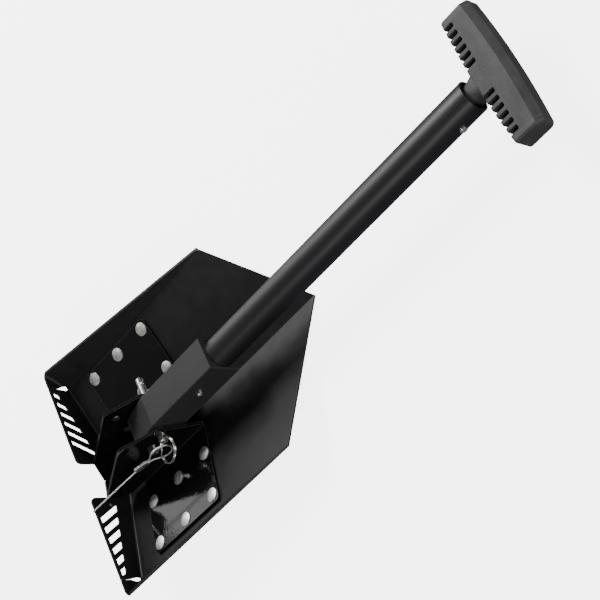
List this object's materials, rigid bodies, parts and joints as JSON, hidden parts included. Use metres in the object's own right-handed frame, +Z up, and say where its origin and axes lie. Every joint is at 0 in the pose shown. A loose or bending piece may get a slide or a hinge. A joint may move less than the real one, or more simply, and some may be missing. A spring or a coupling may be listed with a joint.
{
  "type": "folding avalanche shovel",
  "caption": "Folding avalanche shovel stowed flat: V-section blade with slotted rear walls, telescoping shaft with T-grip folded over it, ring pull lock pin on a lanyard.",
  "frame": {"origin": "middle of the stowed shovel's footprint, on the surface that the blade's crease rests on; the lanyard and its terminal don't count", "axes": "+X across the blade to the side of the pull ring, +Y along the crease from the rear walls to the tip and the T-grip, +Z up out of the hollow of the blade"},
  "size_m": [0.2688, 0.6348, 0.0832],
  "materials": {
    "blade_coat": "black powder coat, semi-gloss",
    "bracket_coat": "black powder coat, gloss with slight orange peel",
    "block_anodised": "black anodised, satin",
    "tube_anodised": "black anodised, satin",
    "inner_tube_anodised": "black anodised, satin",
    "grip_plastic": "moulded, fine matte texture",
    "cap_plastic": "moulded, matte",
    "rivet_aluminium": "bare aluminium, brushed",
    "zinc_steel": "zinc plated",
    "stainless": "stainless, drawn",
    "spring_steel": "spring steel",
    "nylon": "natural nylon"
  },
  "bodies": {
    "blade": {"blade": "blade_coat", "bracket_left": "bracket_coat", "bracket_right": "bracket_coat", "bracket_rivets": "rivet_aluminium", "pivot_bolt": "zinc_steel", "pivot_nut": "zinc_steel", "lanyard_terminal": "stainless", "lanyard_rivet": "rivet_aluminium"},
    "block": {"pivot_block": "block_anodised", "pivot_bush": "nylon", "pivot_washers": "nylon"},
    "outer_shaft": {"outer_tube": "tube_anodised", "block_button_spring": "spring_steel"},
    "block_snap_button": {"block_button": "zinc_steel"},
    "inner_shaft": {"inner_tube": "inner_tube_anodised", "grip": "grip_plastic", "grip_cap_left": "cap_plastic", "grip_cap_right": "cap_plastic", "telescope_button_spring": "spring_steel", "extend_button": "zinc_steel", "extend_button_spring": "spring_steel"},
    "telescope_snap_button": {"telescope_button": "zinc_steel"},
    "pin": {"lock_pin": "stainless", "detent_spring": "spring_steel", "lanyard_cable": "stainless", "lanyard_ferrule": "stainless"},
    "pin_ball": {"detent_ball": "stainless"},
    "pin_ring": {"pull_ring": "stainless"}
  },
  "joints": [
    {"name": "shaft_fold", "type": "hinge", "parent": "blade", "child": "block", "pos_m": [0, -0.2221, 0.0424], "axis": [1, 0, 0], "range_deg": [0, 167]},
    {"name": "shaft_release", "type": "slide", "parent": "block", "child": "outer_shaft", "axis": [0, 1, 0], "range_m": [0, 0.3]},
    {"name": "telescope", "type": "slide", "parent": "outer_shaft", "child": "inner_shaft", "axis": [0, 1, 0], "range_m": [0, 0.3]},
    {"name": "block_button_press", "type": "slide", "parent": "outer_shaft", "child": "block_snap_button", "axis": [-1, 0, 0], "range_m": [0, 0.0032], "stiffness_N_per_m": 800, "springref_m": -0.003, "deforming": ["block_button_spring"]},
    {"name": "telescope_button_press", "type": "slide", "parent": "inner_shaft", "child": "telescope_snap_button", "axis": [-1, 0, 0], "range_m": [0, 0.005], "stiffness_N_per_m": 800, "springref_m": -0.003, "deforming": ["telescope_button_spring"]},
    {"name": "pin_pull", "type": "slide", "parent": "blade", "child": "pin", "axis": [1, 0, 0], "range_m": [0, 0.07], "deforming": ["lanyard_cable", "detent_ball"]},
    {"name": "ball_press", "type": "slide", "parent": "pin", "child": "pin_ball", "axis": [0, -1, 0], "range_m": [0, 0.0009], "stiffness_N_per_m": 1500, "springref_m": -0.0006, "deforming": ["detent_spring"]},
    {"name": "ring_swing", "type": "hinge", "parent": "pin", "child": "pin_ring", "pos_m": [0.0253, -0.19715, 0.04965], "axis": [0, 0.9744, 0.225], "range_deg": [-30, 0]}
  ]
}
